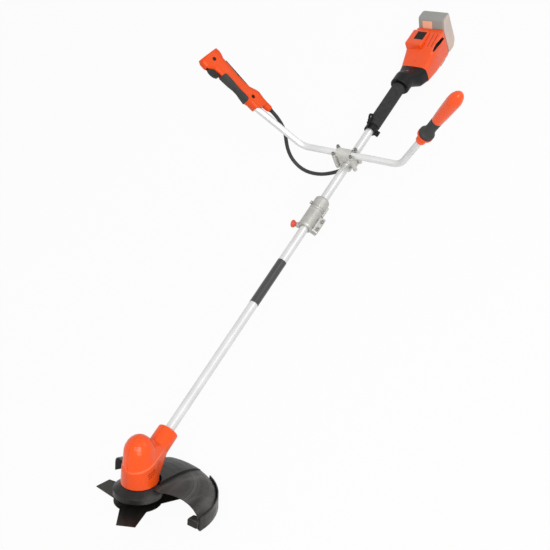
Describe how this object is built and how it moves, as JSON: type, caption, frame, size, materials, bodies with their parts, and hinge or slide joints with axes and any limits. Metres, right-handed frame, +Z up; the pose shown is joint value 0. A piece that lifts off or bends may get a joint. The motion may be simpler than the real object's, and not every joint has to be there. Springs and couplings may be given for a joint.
{
  "type": "brush cutter",
  "caption": "Battery brush cutter: tilted motor pod with toothed blade and guard, split shaft, U handlebar with trigger grip, battery housing at the rear.",
  "frame": {"origin": "bottom centre of the bounding box, on the floor the tool lies on", "axes": "+X from the cutting head towards the battery, +Y to the operator's right, +Z up"},
  "size_m": [1.8882, 0.8368, 0.4755],
  "materials": {
    "black_plastic": "satin moulded",
    "board_green": "potted board",
    "casting": "as cast, tumbled",
    "copper": "wound copper and iron",
    "dark_steel": "black oxide",
    "foam": "foam",
    "grey_plastic": "satin moulded",
    "guard_plastic": "satin moulded",
    "orange": "glossy moulded",
    "peach_plastic": "satin moulded",
    "rubber": "matte",
    "steel": "turned",
    "tube": "satin anodised"
  },
  "bodies": {
    "machine": {"bracket_lower": "casting", "bracket_middle": "casting", "bracket_screw_1": "dark_steel", "bracket_screw_2": "dark_steel", "bracket_screw_3": "dark_steel", "bracket_screw_4": "dark_steel", "bracket_upper": "casting", "cable_gland": "rubber", "control_conduit": "rubber", "controller": "board_green", "coupling_body": "casting", "coupling_bolt_1": "dark_steel", "coupling_bolt_2": "dark_steel", "coupling_set_screw": "dark_steel", "grip_pad": "rubber", "grip_screw_1": "dark_steel", "grip_screw_2": "dark_steel", "guard": "guard_plastic", "guard_extension": "guard_plastic", "guard_screw_1": "dark_steel", "guard_screw_2": "dark_steel", "guard_screw_3": "dark_steel", "hand_sleeve": "foam", "handlebar": "tube", "hanger_clamp": "black_plastic", "hanger_screw": "dark_steel", "housing_left": "orange", "housing_right": "orange", "line_cutter": "dark_steel", "lower_bearing": "steel", "lower_tube": "tube", "motor_base": "casting", "motor_stator": "copper", "plain_grip_core": "orange", "plain_grip_rubber": "rubber", "pod_left": "orange", "pod_right": "orange", "rear_foot": "grey_plastic", "shaft_adapter": "black_plastic", "shaft_band": "black_plastic", "terminal_block": "black_plastic", "trigger_grip_left": "orange", "trigger_grip_right": "orange", "trigger_switch": "black_plastic", "upper_bearing": "steel", "upper_tube": "tube"},
    "cutting_spindle": {"motor_rotor": "steel", "drive_flange": "steel", "blade": "dark_steel", "clamp_washer": "steel", "blade_nut": "steel"},
    "throttle_trigger": {"trigger": "black_plastic"},
    "safety_lever": {"lock_lever": "black_plastic"},
    "shaft_lock": {"lock_knob": "orange", "lock_pin": "steel"},
    "battery": {"battery_pack": "grey_plastic"},
    "battery_catch": {"battery_latch": "peach_plastic"},
    "main_switch": {"power_button": "black_plastic"}
  },
  "joints": [
    {"name": "blade_spin", "type": "hinge", "parent": "machine", "child": "cutting_spindle", "pos_m": [-0.80688, 0.00914, 0.20443], "axis": [0.6816, 0, 0.7317], "continuous": true},
    {"name": "trigger_pull", "type": "hinge", "parent": "machine", "child": "throttle_trigger", "pos_m": [0.32504, 0.38516, 0.43861], "axis": [0.0496, -0.7932, 0.6069], "range_deg": [0, 10], "stiffness_Nm_per_rad": 0.6},
    {"name": "safety_press", "type": "hinge", "parent": "machine", "child": "safety_lever", "pos_m": [0.36936, 0.37229, 0.41817], "axis": [-0.0496, 0.7932, -0.6069], "range_deg": [0, 2.5], "stiffness_Nm_per_rad": 1.5},
    {"name": "lock_pull", "type": "slide", "parent": "machine", "child": "shaft_lock", "axis": [0, 1, 0], "range_m": [0, 0.005], "stiffness_N_per_m": 900},
    {"name": "battery_slide", "type": "slide", "parent": "machine", "child": "battery", "axis": [0.0814, 0, 0.9967], "range_m": [0, 0.09]},
    {"name": "battery_release", "type": "slide", "parent": "battery", "child": "battery_catch", "axis": [0.9136, 0, -0.4066], "range_m": [0, 0.002], "stiffness_N_per_m": 800},
    {"name": "power_press", "type": "slide", "parent": "machine", "child": "main_switch", "axis": [-0.0814, 0, -0.9967], "range_m": [0, 0.0022], "stiffness_N_per_m": 800}
  ]
}
